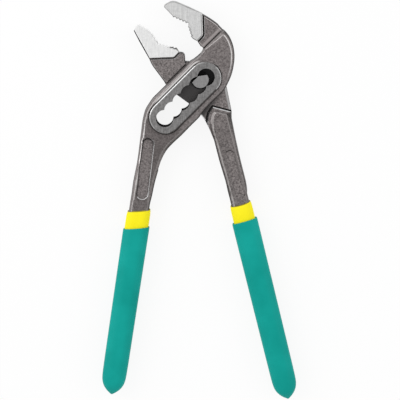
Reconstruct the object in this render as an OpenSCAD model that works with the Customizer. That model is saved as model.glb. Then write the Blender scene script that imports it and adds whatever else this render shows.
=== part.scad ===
// Water pump pliers with a box joint: two forged levers, a pivot pin and double-dipped handles.
// Millimetres, +Z up. The tool lies flat with its rear faces on Z = 0, jaws toward +Y.
// The pivot pin's axis is X = 0, Y = 0. The pin stands half a notch away from the first notch.

/* [Box] */
// Thickness over the ground faces of the box
box_t = 15; // [13:0.5:20]
// Height of a ground face over the forged cheek
face_step = 0.8; // [0.3:0.1:1.2]
// Width of the ground face between slot and edge
face_wall = 4.6; // [3.5:0.1:7]
// Width of the forged cheek outside the ground face
cheek_margin = 3.7; // [2:0.1:5]
// Thickness of the inner lever in the window
web_t = 7; // [5:0.1:8]
// Gap between the inner lever and each cheek
web_gap = 0.2; // [0.1:0.05:0.4]

/* [Slot and pin] */
// Number of notches
notch_count = 6; // [4:1:6]
// Distance between notches
notch_pitch = 7.25; // [6.5:0.05:8]
// Radius of the pivot pin
pin_r = 5.2; // [4.6:0.05:5.6]
// Radial clearance of the pin in the inner lever
pin_fit = 0.05; // [0.02:0.01:0.1]
// How much a notch is larger than the pin in radius
notch_play = 0.15; // [0.1:0.05:0.5]
// Clearance beside the pin while it slides
slide_gap = 0.12; // [0.05:0.01:0.3]

/* [Jaws] */
// Thickness of the ground jaws
jaw_t = 11; // [9:0.5:13]
// Thickness of the forged necks beside the jaws
neck_t = 9.8; // [8:0.2:12]
// Width of the grooves round the jaws and the handle's top
groove_w = 1.1; // [0.6:0.1:1.6]
// Depth of these grooves
groove_d = 0.6; // [0.2:0.1:1]
// Tooth depth at the front of the hook
tooth_h = 0.9; // [0.4:0.1:1.4]
// Tooth depth in the other rows
fine_tooth_h = 0.8; // [0.3:0.1:1]

/* [Handles] */
// Thickness of the steel handles
handle_t = 9.6; // [9.2:0.2:12]
// Thickness of the tangs inside the sleeves
tang_t = 9.2; // [7:0.2:9.4]
// Width of the slot lever's tang where its green grip begins
slot_tang_w = 12.4; // [10:0.1:13]
// Width of the pin lever's tang where its green grip begins
pin_tang_w = 11.4; // [10:0.1:13]
// Width of a tang at its end
tang_end_w = 8.6; // [7:0.1:10]
// Distance from the raised top of the pin lever's handle to its groove
lip_margin = 1.6; // [0.4:0.1:2]
// Depth of the bare panels in the handles
panel_d = 0.5; // [0.2:0.1:0.8]
// Width of the bare panel on the slot lever
slot_panel_w = 6.8; // [4:0.1:7]
// Width of the bare panel on the pin lever
pin_panel_w = 5.6; // [4:0.1:6.4]

/* [Sleeves] */
// Length of the green grip on the slot lever
slot_grip_len = 107.5; // [90:0.5:130]
// Length of the green grip on the pin lever
pin_grip_len = 117; // [90:0.5:130]
// Length of the yellow band that stays in view
band_len = 11.4; // [8:0.2:14]
// Wall of the yellow sleeve
yellow_wall = 1.1; // [0.8:0.1:1.4]
// Wall of a green grip at the sides of its top
green_wall = 0.64; // [0.5:0.02:1.5]
// Wall of a green grip at the sides of its end
green_end_wall = 2.04; // [1.2:0.02:3]
// Wall of a green grip on its front and rear
green_face_wall = 1.34; // [0.8:0.02:1.6]
// Gap between the layers
layer_gap = 0.08; // [0.06:0.01:0.12]

/* [Hidden] */
$fn = 64;
mid_z = box_t / 2;
window_t = web_t + 2 * web_gap;
cheek_t = box_t - 2 * face_step;
notch_r = pin_r + notch_play;
face_r = notch_r + face_wall;
cheek_half = face_r + cheek_margin;
// Half the free width between the cusps that part the notches
cusp_half = sqrt(notch_r * notch_r - notch_pitch * notch_pitch / 4);
free_half = cusp_half - slide_gap;
// The pin sits off the slot's middle line, with a flat on its near side
pin_offset = pin_r - free_half;
pin_flat = 2 * free_half - pin_r;
// Turn of the first flat against X, and of the second flat against the first
flat_side = 135;
flat_turn = 36;
along = [-sqrt(0.5), -sqrt(0.5)];
across = [sqrt(0.5), -sqrt(0.5)];
first_notch = pin_offset * across - notch_pitch / 2 * along;
last_notch = first_notch + (notch_count - 1) * notch_pitch * along;
slot_len = (notch_count - 1) * notch_pitch;
// Where the pin stands in the first and last notch
pin_first = -notch_pitch / 2 * along;
pin_last = pin_first + slot_len * along;
// Rounding of the forged edges, and the share of a section's width that it may take
edge_w = 3;
edge_d = 1.9;
edge_share = 0.45;
round_steps = 4;
path_steps = 3;
end_steps = 32;
// Rounding of the necks' edges
neck_edge_w = 1.3;
neck_edge_d = 1.2;
// How much the hook's neck thins toward its crease, and how much thicker the body starts there
crease_dip = 0.5;
crease_step = 0.4;
// Place of a tooth's peak between its two gullets, as a share
tooth_peak = 0.42;
fine_tooth_peak = 0.85;
// How much the ground face ends short of the outer notches
face_short = 0.8;
// How much the cheek bulges beside the root of the handle
root_bulge = 0.5;
// How much thinner than the necks the pin lever's handle starts
lip_drop = 0.8;
// Gap between the neck's shoulder and the edge of the cheeks
shoulder_gap = 0.7;
// Play of the inner lever at the two ends of the window
end_play = 0.6;
// Radius of the inner lever's end round the pin
web_r = 13;
// The yellow wall where it starts on the steel
band_wall = 0.35;
// How far a tang ends before its grip
tang_short = 10;
// Distance below a grip's top that a sloping dip line still reaches
dip_reach = 5;
// Length of straight handle above the yellow band
tang_lead = 5;
// Length over which the yellow wall grows to its full size
dip_rise = 4;
// Cuts run past the faces that they open
past = 1;

// A point in the slot's own directions, from the first notch
function in_slot(run, side) = first_notch + run * along + side * across;

// A rounded section upright on the line from l to r, as thick as t
function section(l, r, t, bl, br, bd, steps) =
    let (w = norm(r - l), u = (r - l) / w, h = t / 2 - bd,
         corners = [[w - br, h, br, 0], [bl, h, bl, 90], [bl, -h, bl, 180], [w - br, -h, br, 270]])
    [for (c = corners, i = [0 : steps])
        let (a = c[3] + 90 * i / steps, p = l + (c[0] + c[2] * cos(a)) * u)
        [p[0], p[1], mid_z + c[1] + bd * sin(a)]];

// A curve through four values
function curve(a, b, c, d, x) =
    0.5 * (2 * b + (c - a) * x + (2 * a - 5 * b + 4 * c - d) * x * x + (3 * b - a - 3 * c + d) * x * x * x);

// Rows of a lever are left point, right point and thickness; sections follow the rows on a smooth path
function row_at(rows, i) = rows[max(0, min(len(rows) - 1, i))];
function path_row(rows, i, x) =
    let (a = row_at(rows, i - 1), b = row_at(rows, i), c = row_at(rows, i + 1), d = row_at(rows, i + 2))
    [curve(a[0], b[0], c[0], d[0], x), curve(a[1], b[1], c[1], d[1], x), b[2] + (c[2] - b[2]) * x];
function smooth(rows) =
    let (last = len(rows) - 1)
    concat([for (i = [0 : last - 1], j = [0 : path_steps - 1]) path_row(rows, i, j / path_steps)], [rows[last]]);
function lever_sections(rows, w = edge_w, d = edge_d) =
    [for (p = rows)
        let (e = min(w, edge_share * norm(p[1] - p[0])))
        section(p[0], p[1], p[2], e, e, d, round_steps)];

// A solid through a list of sections
module loft(rings) {
    m = len(rings[0]);
    n = len(rings);
    polyhedron(
        points = [for (ring = rings, p = ring) p],
        faces = concat(
            [[for (j = [0 : m - 1]) j]],
            [[for (j = [m - 1 : -1 : 0]) (n - 1) * m + j]],
            [for (i = [0 : n - 2], j = [0 : m - 1]) [i * m + j, (i + 1) * m + j, (i + 1) * m + (j + 1) % m]],
            [for (i = [0 : n - 2], j = [0 : m - 1]) [i * m + j, (i + 1) * m + (j + 1) % m, i * m + (j + 1) % m]]));
}

// An outline whose third value is the length that a rounded corner takes from each side
function rounded(points) =
    let (n = len(points))
    [for (i = [0 : n - 1])
        let (p = [points[i][0], points[i][1]], r = points[i][2],
             a = points[(i + n - 1) % n], b = points[(i + 1) % n],
             pa = [a[0], a[1]] - p, pb = [b[0], b[1]] - p)
        each (r == 0 ? [p] :
            let (s = p + r * pa / norm(pa), e = p + r * pb / norm(pb))
            [for (x = [0 : 0.25 : 1]) (1 - x) * (1 - x) * s + 2 * x * (1 - x) * p + x * x * e])];

// Saw teeth between two points, standing out to the left of the way from a to b
function teeth(a, b, count, h = fine_tooth_h, peak = fine_tooth_peak) =
    let (d = (b - a) / count, out = [-d[1], d[0]] / norm(d) * h)
    [for (i = [0 : count - 1], q = [a + i * d, a + (i + peak) * d + out]) [q[0], q[1], 0]];

// The forged neck of a jaw, with a groove on both faces round the ground jaw
module grooved_neck(rows, jaw) {
    depth = (jaw_t - neck_t) / 2 + groove_d;
    difference() {
        loft(lever_sections(smooth(rows), neck_edge_w, neck_edge_d));
        for (z = [mid_z - jaw_t / 2, mid_z + jaw_t / 2 - depth])
            translate([0, 0, z]) linear_extrude(depth) offset(delta = groove_w) polygon(jaw);
    }
}

// A bar with round ends between two points
function half_round(p, r, start) =
    [for (i = [0 : end_steps]) p + r * [cos(start + 180 * i / end_steps), sin(start + 180 * i / end_steps)]];
module stadium(a, b, r, h) {
    turn = atan2(b[1] - a[1], b[0] - a[0]);
    linear_extrude(h) polygon(concat(half_round(a, r, turn + 90), half_round(b, r, turn - 90)));
}

// A handle is the top middle of its green grip, the lean of its axis from -Y, the slope of its dip line,
// the length of its grip and the width of its tang
slot_handle = [last_notch + [-17.8, -69.0], -8.6, 0.225, slot_grip_len, slot_tang_w];
pin_handle = [[27.6, -88.6], 13.8, 0.04, pin_grip_len, pin_tang_w];

// A row across a handle: distance below the grip's top, width, thickness and slope
function grip_row(h, run, w, t, slope) =
    let (d = [sin(h[1]), -cos(h[1])], u = [cos(h[1]), sin(h[1])], p = h[0] + run * d)
    [p - w / 2 * (u - slope * d), p + w / 2 * (u - slope * d), t];

// Tangs keep their width as far as the dip lines reach, then narrow to their ends
function tang_len(h) = h[3] - tang_short;
function tang_width(h, run) =
    h[4] + (tang_end_w - h[4]) * max(0, run - dip_reach) / (tang_len(h) - dip_reach);
function tang_row(h, run) = grip_row(h, run, tang_width(h, run), tang_t, 0);
function tang_start(h) = [for (run = [tang_lead, tang_lead / 2]) tang_row(h, -band_len - run)];
function tang_rows(h) = concat(
    [for (run = [0, dip_reach, tang_len(h) - 4]) tang_row(h, run)],
    [grip_row(h, tang_len(h), tang_end_w - 2.4, tang_t - 0.4, 0)]);

// Sleeves are lofted from the bottom of their hollow up to the rim and down the outside
function sleeve_ring(h, run, w, t, slope, roundness) =
    let (row = grip_row(h, run, w, t, slope))
    section(row[0], row[1], t, w * roundness, w * roundness, t * roundness, 6);
function hollow_ring(h, run, slope) =
    let (row = grip_row(h, run, tang_width(h, run) + 2 * layer_gap, tang_t, slope))
    section(row[0], row[1], tang_t + 2 * layer_gap, edge_w, edge_w, edge_d, 6);

function yellow_w(h, run) = tang_width(h, run) + 2 * (layer_gap + yellow_wall);
yellow_t = tang_t + 2 * (layer_gap + yellow_wall);
yellow_round = 0.34;
function yellow_len(h) = tang_len(h) + 3;
function yellow_runs(h) = [dip_reach, tang_len(h) / 2, tang_len(h) - 2];
module yellow_sleeve(h) {
    rim_w = h[4] + 2 * (layer_gap + band_wall);
    rim_t = tang_t + 2 * (layer_gap + band_wall);
    end_w = yellow_w(h, tang_len(h));
    loft(concat(
        [hollow_ring(h, tang_len(h) + 0.5, 0), hollow_ring(h, dip_reach, 0),
         hollow_ring(h, -band_len, h[2])],
        [sleeve_ring(h, -band_len + 0.2, rim_w, rim_t, h[2], 0.24),
         sleeve_ring(h, -band_len + dip_rise, h[4] + 2 * yellow_wall, yellow_t - 0.2, h[2], yellow_round)],
        [for (run = yellow_runs(h)) sleeve_ring(h, run, yellow_w(h, run), yellow_t, 0, yellow_round)],
        [sleeve_ring(h, yellow_len(h) - 1.5, 0.85 * end_w, 0.9 * yellow_t, 0, 0.4),
         sleeve_ring(h, yellow_len(h), 0.5 * end_w, 0.5 * yellow_t, 0, 0.45)]));
}

grip_w = yellow_w(slot_handle, 0) + 2 * (layer_gap + green_wall);
grip_end_w = yellow_w(slot_handle, tang_len(slot_handle)) + 2 * (layer_gap + green_end_wall);
grip_t = yellow_t + 2 * (layer_gap + green_face_wall);
function grip_width(h, run) = grip_w + (grip_end_w - grip_w) * run / h[3];
grip_round = 0.4;
// Length and fullness of the pointed tip
grip_end = 13;
tip_power = 2.7;
tip_thickness = 2;
function tip_share(s) = 1 - pow(s, tip_power);
module green_grip(h) {
    loft(concat(
        [sleeve_ring(h, yellow_len(h) + 0.6, 0.5 * yellow_w(h, tang_len(h)), 0.5 * yellow_t, 0, 0.45),
         sleeve_ring(h, yellow_len(h) + 0.2, yellow_w(h, tang_len(h)), yellow_t, 0, yellow_round)],
        [for (run = [tang_len(h) - 2, tang_len(h) / 2, dip_reach])
            sleeve_ring(h, run, yellow_w(h, run) + 2 * layer_gap, yellow_t + 2 * layer_gap, 0, yellow_round)],
        [sleeve_ring(h, 0, yellow_w(h, 0) + 2 * layer_gap, yellow_t + 2 * layer_gap, h[2], yellow_round),
         sleeve_ring(h, 0.1, grip_width(h, 0) - 0.4, grip_t - 1, h[2], grip_round),
         sleeve_ring(h, 0.8, grip_width(h, 0), grip_t - 0.4, h[2], grip_round)],
        [for (run = [6, h[3] / 3, h[3] - grip_end])
            sleeve_ring(h, run, grip_width(h, run), grip_t, 0, grip_round)],
        [for (s = [0.3, 0.54, 0.72, 0.85, 0.95, 1])
            sleeve_ring(h, h[3] - grip_end * (1 - s), max(grip_end_w * tip_share(s), tip_thickness / 2),
                        max(grip_t * tip_share(s), tip_thickness), 0, 0.48)]));
}

// Hook and box
hook_rows = [
    [first_notch + [-1.9, 17.2], first_notch + [10.4, 29.1], neck_t - crease_dip + crease_step],
    [first_notch + [-2.1, 16.5], first_notch + [11.2, 28.5], cheek_t - 1.6],
    [first_notch + [-2.6, 15.4], first_notch + [12.6, 27.1], cheek_t - 0.4],
    [first_notch + [-4.0, 13.7], first_notch + [14.9, 23.8], cheek_t - 0.1],
    [first_notch + [-6.9, 11.2], first_notch + [17.0, 18.2], cheek_t],
    [in_slot(0.6, -cheek_half), first_notch + [17.6, 12.3], cheek_t],
    [in_slot(4, -cheek_half), first_notch + [17.0, 6.6], cheek_t],
    [in_slot(9, -cheek_half), first_notch + [15.7, 1.2], cheek_t],
    [in_slot(14, -cheek_half), first_notch + [13.5, -3.9], cheek_t],
    [in_slot(21, -cheek_half), in_slot(-1.5, cheek_half), cheek_t]];
// Root and handle
root_rows = [
    [in_slot(slot_len - 8, -cheek_half), in_slot(slot_len - 26, cheek_half), cheek_t],
    [in_slot(slot_len - 3, -cheek_half), in_slot(slot_len - 18.4, cheek_half + root_bulge), cheek_t],
    [last_notch + [-10.4, 7.6], last_notch + [21.5, 0.6], cheek_t],
    [last_notch + [-12.2, 4.4], last_notch + [16.3, -4.6], cheek_t],
    [last_notch + [-13.7, -1.2], last_notch + [10.2, -10.9], cheek_t - 0.8],
    [last_notch + [-14.6, -8.0], last_notch + [4.9, -15.9], handle_t + 1.8],
    [last_notch + [-15.6, -15.6], last_notch + [1.1, -20.5], handle_t + 0.5],
    [last_notch + [-17.1, -26.8], last_notch + [-2.2, -27.1], handle_t],
    [last_notch + [-19.6, -39.3], last_notch + [-6.0, -39.7], handle_t],
    [last_notch + [-20.7, -47.2], last_notch + [-7.8, -48.0], handle_t]];

// Forged neck of the hook, from inside the jaw to inside the body, with points from the first notch
hook_neck_rows = [
    [[-8.5, 25.8], [-6.5, 39.3], neck_t],
    [[-5.9, 23.0], [-2.6, 38.7], neck_t],
    [[-5.0, 21.4], [2.8, 35.6], neck_t],
    [[-3.4, 19.0], [7.1, 32.5], neck_t],
    [[-2.9, 18.7], [8.1, 31.3], neck_t],
    [[-1.6, 17.6], [10.0, 29.3], neck_t - crease_dip],
    [[1.0, 14.6], [12.2, 25.8], neck_t - crease_dip]];
hook_jaw = concat(
    [[-26.0, 43.2, 0.4], [-25.6, 44.3, 0.5], [-21.6, 46.5, 1.0], [-18.8, 46.4, 1.4], [-10.0, 42.6, 0],
     [-2.4, 38.9, 0.4], [-2.0, 25.6, 1.2], [-5.5, 22.1, 0.6]],
    teeth([-8.1, 23.6], [-10.4, 31.4], 4),
    [[-10.7, 32.8, 0]],
    teeth([-11.2, 33.6], [-20.9, 38.0], 5, tooth_h, tooth_peak),
    [[-20.9, 38.0, 0]]);

// The opening between the cheeks; both long sides are open
window_outline = concat(
    [[pin_first[0] + 22, pin_first[1] + 0.5]],
    [for (a = [0 : 9 : 117]) pin_first + (web_r + end_play) * [cos(a), sin(a)]],
    [pin_first + [-14, 22], pin_last + [-32, 4], pin_last + [-14.6, -9.6], pin_last + [-11.4, -13],
     pin_last + [-6.8, -20.2], pin_last + [-5.2, -26], pin_last + [-4.5, -31], pin_last + [-2, -36],
     pin_last + [40, -36]]);

module slot_lever() {
    color([0.45, 0.43, 0.42])
    difference() {
        union() {
            loft(lever_sections(concat(
                smooth(concat(hook_rows, root_rows, tang_start(slot_handle))),
                tang_rows(slot_handle))));
            translate([first_notch[0], first_notch[1], 0]) {
                grooved_neck(hook_neck_rows, rounded(hook_jaw));
                translate([0, 0, mid_z - jaw_t / 2]) linear_extrude(jaw_t) polygon(rounded(hook_jaw));
            }
            stadium(in_slot(face_short, 0), in_slot(slot_len - face_short, 0), face_r, box_t);
        }
        translate([0, 0, mid_z - window_t / 2]) linear_extrude(window_t) polygon(window_outline);
        for (i = [0 : notch_count - 1])
            translate([in_slot(i * notch_pitch, 0)[0], in_slot(i * notch_pitch, 0)[1], -past])
                cylinder(r = notch_r, h = box_t + 2 * past);
        translate([0, 0, mid_z + handle_t / 2 - panel_d])
            stadium(last_notch + [-10.2, -16.0], last_notch + [-14.0, -47.2], slot_panel_w / 2, handle_t);
    }
}

// Pin lever, with points from the pin
pin_neck_rows = [
    [[-36.0, 20.7], [-17.0, 18.0], neck_t],
    [[-33.0, 15.3], [-13.5, 16.7], neck_t],
    [[-31.4, 12.2], [-10.7, 16.3], neck_t],
    [[-29.7, 8.6], [-9.6, 14.9], neck_t],
    [[-26.2, 3.8], [-9.4, 12.8], neck_t],
    [in_slot(20.5, -cheek_half - 1.9), in_slot(2.6, -cheek_half - 1.9), neck_t],
    [in_slot(20.2, -cheek_half - 1.2), in_slot(2.4, -cheek_half - 1.2), neck_t],
    [in_slot(20.1, -cheek_half - 1), in_slot(2.6, -cheek_half - 1), neck_t - 0.6],
    [in_slot(20, -cheek_half - shoulder_gap), in_slot(3, -cheek_half - shoulder_gap), web_t + 0.4]];
pin_jaw = concat(
    [[-41.1, 30.2, 0.8], [-39.0, 33.6, 1.0], [-37.0, 33.3, 1.0], [-30.8, 29.2, 0]],
    teeth([-30.6, 28.4], [-27.0, 22.8], 3),
    teeth([-26.2, 21.6], [-14.6, 18.2], 6),
    [[-13.3, 17.0, 0.4], [-16.4, 13.9, 0.8], [-31.9, 13.3, 0], [-34.6, 18.0, 0], [-37.7, 23.6, 0]]);
web_outline = concat(
    [[-22.2, -1.8], [-21.2, -3.6], [-14.3, -9.8], [-6.9, -15.2], [-0.4, -20.8], [3.2, -26.1], [5.9, -31.6],
     [8.2, -37.2], [12, -38.6], [19.6, -28.6], [19.4, -21.8], [19.4, -20.0], [18.3, -14.5], [17.3, -9.5],
     [16.4, -5.1], [14.6, -2.2]],
    [for (a = [0 : 9 : 108]) web_r * [cos(a), sin(a)]],
    [[-6.4, 10.8], [-9.2, 11.0], [-12, 13.4], [-26, 6]]);
pin_handle_rows = [
    [[8.3, -19.0], [18.3, -21.6], web_t],
    [[7.9, -19.5], [18.5, -22.2], neck_t - lip_drop - 0.8],
    [[7.6, -20.1], [18.7, -22.7], neck_t - lip_drop - 0.2],
    [[6.7, -21.6], [19.1, -23.6], neck_t - lip_drop],
    [[6.1, -24.0], [19.5, -24.8], neck_t - lip_drop],
    [[6.0, -27.6], [20.2, -28.2], neck_t - lip_drop],
    [[6.6, -32.4], [21.0, -32.2], handle_t],
    [[8.5, -38.0], [22.2, -38.0], handle_t],
    [[11.8, -50.8], [25.1, -50.8], handle_t],
    [[15.6, -63.4], [28.2, -63.0], handle_t],
    [[16.9, -69.2], [29.1, -68.0], handle_t]];

// The thin middle, with a groove on both faces round the handle's top
handle_outline = concat(
    [for (r = pin_handle_rows) r[0]],
    [for (i = [len(pin_handle_rows) - 1 : -1 : 0]) pin_handle_rows[i][1]]);
module grooved_web() {
    difference() {
        translate([0, 0, mid_z - web_t / 2]) linear_extrude(web_t) polygon(web_outline);
        for (z = [mid_z - web_t / 2 - past, mid_z + web_t / 2 - groove_d])
            translate([0, 0, z]) linear_extrude(groove_d + past) difference() {
                offset(delta = lip_margin + groove_w) polygon(handle_outline);
                offset(delta = lip_margin) polygon(handle_outline);
            }
    }
}

module pin_lever() {
    color([0.5, 0.48, 0.47])
    difference() {
        union() {
            grooved_web();
            grooved_neck(pin_neck_rows, rounded(pin_jaw));
            translate([0, 0, mid_z - jaw_t / 2]) linear_extrude(jaw_t) polygon(rounded(pin_jaw));
            loft(lever_sections(concat(smooth(concat(pin_handle_rows, tang_start(pin_handle))), tang_rows(pin_handle))));
        }
        translate([0, 0, -past]) cylinder(r = pin_r + pin_fit, h = box_t + 2 * past);
        translate([0, 0, mid_z + handle_t / 2 - panel_d])
            stadium([18.2, -47.2], [24.6, -72.2], pin_panel_w / 2, handle_t);
    }
}

// The pin is round in the inner lever and has two flats in both cheeks
function toward(angle) = [cos(angle), sin(angle)];
module flats_cut(h) {
    far = 3 * pin_r;
    corner = pin_flat / cos(flat_turn / 2) * toward(flat_side - flat_turn / 2);
    first_end = corner + far * toward(flat_side + 90);
    second_end = corner + far * toward(flat_side - flat_turn - 90);
    linear_extrude(h) polygon([
        corner, second_end, second_end + far * toward(flat_side - flat_turn),
        first_end + far * toward(flat_side), first_end]);
}
module pivot_pin() {
    flat_h = (box_t - web_t) / 2 - web_gap / 4;
    color([0.62, 0.61, 0.61])
    difference() {
        cylinder(r = pin_r, h = box_t);
        for (z = [-past, box_t - flat_h]) translate([0, 0, z]) flats_cut(flat_h + past);
    }
}

module slot_yellow_sleeve() {
    color([0.98, 0.9, 0.1]) yellow_sleeve(slot_handle);
}

module slot_green_grip() {
    color([0.1, 0.6, 0.55]) green_grip(slot_handle);
}

module pin_yellow_sleeve() {
    color([0.98, 0.9, 0.1]) yellow_sleeve(pin_handle);
}

module pin_green_grip() {
    color([0.1, 0.6, 0.55]) green_grip(pin_handle);
}

slot_lever();
pin_lever();
pivot_pin();
slot_yellow_sleeve();
slot_green_grip();
pin_yellow_sleeve();
pin_green_grip();
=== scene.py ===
import math

import bmesh
import bpy
from mathutils import Matrix, Vector


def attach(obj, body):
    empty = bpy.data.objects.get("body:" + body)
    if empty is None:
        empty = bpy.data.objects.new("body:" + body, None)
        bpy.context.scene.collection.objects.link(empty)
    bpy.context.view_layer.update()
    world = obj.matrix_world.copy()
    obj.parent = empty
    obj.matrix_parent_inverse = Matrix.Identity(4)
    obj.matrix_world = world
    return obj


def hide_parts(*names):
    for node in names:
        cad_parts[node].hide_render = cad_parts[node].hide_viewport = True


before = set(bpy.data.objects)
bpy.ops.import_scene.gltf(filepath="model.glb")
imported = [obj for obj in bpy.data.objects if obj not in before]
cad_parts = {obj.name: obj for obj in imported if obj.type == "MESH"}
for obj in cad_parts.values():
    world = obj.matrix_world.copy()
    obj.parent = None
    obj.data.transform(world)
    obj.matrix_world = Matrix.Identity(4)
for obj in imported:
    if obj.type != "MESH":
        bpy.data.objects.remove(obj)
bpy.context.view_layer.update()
mm = 0.001
midHeight = 7.5      # middle plane of the pliers, in mm
slotTurn = 45        # lean of the slot, in degrees
print("frame loaded")


# shader helpers
def newMaterial(name):
    mat = bpy.data.materials.new(name)
    mat.use_nodes = True
    tree = mat.node_tree
    return mat, tree, tree.nodes["Principled BSDF"]


def addNode(tree, kind, **sockets):
    node = tree.nodes.new(kind)
    for key, value in sockets.items():
        node.inputs[key].default_value = value
    return node


def link(tree, outSocket, inSocket):
    tree.links.new(outSocket, inSocket)


def feed(tree, value, socket):
    if isinstance(value, bpy.types.NodeSocket):
        link(tree, value, socket)
    else:
        socket.default_value = value


def objectPlace(tree, turn=0.0, stretch=(1, 1, 1)):
    coords = tree.nodes.new("ShaderNodeTexCoord")
    mapping = tree.nodes.new("ShaderNodeMapping")
    mapping.inputs["Rotation"].default_value = (0, 0, math.radians(turn))
    mapping.inputs["Scale"].default_value = stretch
    link(tree, coords.outputs["Object"], mapping.inputs["Vector"])
    return mapping.outputs["Vector"]


def split(tree, vector):
    node = tree.nodes.new("ShaderNodeSeparateXYZ")
    link(tree, vector, node.inputs[0])
    return node.outputs


def noiseOn(tree, place, scale, detail, roughness):
    node = addNode(tree, "ShaderNodeTexNoise", Scale=scale, Detail=detail, Roughness=roughness)
    link(tree, place, node.inputs["Vector"])
    return node.outputs["Fac"]


def ramp(tree, value, stops):
    node = tree.nodes.new("ShaderNodeValToRGB")
    elements = node.color_ramp.elements
    while len(elements) < len(stops):
        elements.new(0.5)
    for element, (at, colour) in zip(elements, stops):
        element.position = at
        element.color = (*colour, 1)
    link(tree, value, node.inputs["Fac"])
    return node.outputs["Color"]


def greyRamp(tree, value, stops):
    return ramp(tree, value, [(at, (level, level, level)) for at, level in stops])


def mixColour(tree, share, first, second):
    node = tree.nodes.new("ShaderNodeMix")
    node.data_type = "RGBA"
    link(tree, share, node.inputs[0])
    for colour, socket in ((first, node.inputs[6]), (second, node.inputs[7])):
        feed(tree, (*colour, 1) if isinstance(colour, tuple) else colour, socket)
    return node.outputs[2]


def combine(tree, how, first, second=0.0):
    node = tree.nodes.new("ShaderNodeMath")
    node.operation = how
    feed(tree, first, node.inputs[0])
    feed(tree, second, node.inputs[1])
    return node.outputs[0]


def product(tree, *values):
    total = values[0]
    for value in values[1:]:
        total = combine(tree, "MULTIPLY", total, value)
    return total


def blendNoise(tree, first, second, share):
    return combine(tree, "ADD", product(tree, first, share), product(tree, second, 1 - share))


# 0 at none and 1 at full, whichever of the two is larger
def shareBetween(tree, value, none, full):
    node = tree.nodes.new("ShaderNodeMapRange")
    node.inputs["From Min"].default_value = none
    node.inputs["From Max"].default_value = full
    link(tree, value, node.inputs["Value"])
    return node.outputs[0]


# 1 between start and end, each of which is a soft step of its own
def within(tree, value, start, end):
    return product(tree, shareBetween(tree, value, *start), shareBetween(tree, value, *end))


def bumpFrom(tree, height, strength, reach):
    node = addNode(tree, "ShaderNodeBump", Strength=strength, Distance=reach)
    link(tree, height, node.inputs["Height"])
    return node.outputs["Normal"]


def openness(tree, reach):
    node = tree.nodes.new("ShaderNodeAmbientOcclusion")
    node.samples = 8
    node.only_local = True
    node.inputs["Distance"].default_value = reach
    return node.outputs["AO"]


# darker skin on a handle's raised face, by distance from the middle plane and by place along the handle
slotShaft = {
    "dull": (0.07, 0.062, 0.06),
    "share": 0.5,
    "start": (-35 * mm, -43 * mm),
    "level": (4.4 * mm, 4.7 * mm),
}
pinShaft = dict(slotShaft, share=0.24, start=(-18 * mm, -24 * mm))


def shaftSkin(tree, skin, spot, shaft):
    height = combine(tree, "ABSOLUTE", combine(tree, "SUBTRACT", spot["Z"], midHeight * mm))
    onFace = shareBetween(tree, height, *shaft["level"])
    onHandle = shareBetween(tree, spot["Y"], *shaft["start"])
    return mixColour(tree, product(tree, onFace, onHandle, shaft["share"]), skin, shaft["dull"])


# worn left edge beside the panel, where the panel cuts into its rounding, with its painted highlight
# widened there, and its bright stretch of painted highlight
slotThinEdge = {
    "start": (-36 * mm, -39 * mm),
    "end": (-56 * mm, -50 * mm),
    "shift": 0.06,           # how much steeper a worn facet may be there and still take the painted highlight
    "shineStart": (-24 * mm, -28 * mm),
    "shineEnd": (-54 * mm, -46 * mm),
    "light": (0.8, 0.78, 0.77),
}


def thinnedEdge(tree, upright, edgeLeft, spot, rightward, edge):
    leftward = combine(tree, "SUBTRACT", 1.0, rightward)
    beside = within(tree, spot["Y"], edge["start"], edge["end"])
    slope = combine(tree, "ADD", upright, product(tree, beside, leftward, edge["shift"]))
    shine = within(tree, spot["Y"], edge["shineStart"], edge["shineEnd"])
    return slope, mixColour(tree, shine, edgeLeft, edge["light"])


# painted shade: dark band along the right side of the pin lever's handle, with a painted highlight ridge
# inside it
pinFlank = {
    "turn": -12.75,          # lean of the handle's right side, in degrees
    "taper": 0.0244,
    "band": (10.5 * mm, 10.9 * mm),
    "top": (-23.8 * mm, -24.6 * mm),
    "fade": (-42 * mm, -26 * mm),
    "shares": (0.6, 0.15),   # strength at the top and further down
    "ridge": (0.3, 0.275, 0.27),
    "ridgeInner": (9.8 * mm, 10.1 * mm),
    "ridgeOuter": (10.7 * mm, 10.4 * mm),
    "ridgeFade": (-70 * mm, -35 * mm),
}


def flankBand(tree, face, flank, paintedShade):
    spot = split(tree, objectPlace(tree, flank["turn"]))
    across = combine(tree, "ADD", spot["X"], product(tree, spot["Y"], flank["taper"]))
    belowTop = shareBetween(tree, spot["Y"], *flank["top"])
    ridge = product(tree, within(tree, across, flank["ridgeInner"], flank["ridgeOuter"]), belowTop,
                    shareBetween(tree, spot["Y"], *flank["ridgeFade"]))
    face = mixColour(tree, ridge, face, flank["ridge"])
    upper, lower = flank["shares"]
    fade = product(tree, shareBetween(tree, spot["Y"], *flank["fade"]), upper - lower)
    strength = combine(tree, "ADD", fade, lower)
    band = product(tree, shareBetween(tree, across, *flank["band"]), belowTop, strength)
    return mixColour(tree, band, face, paintedShade)
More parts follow.
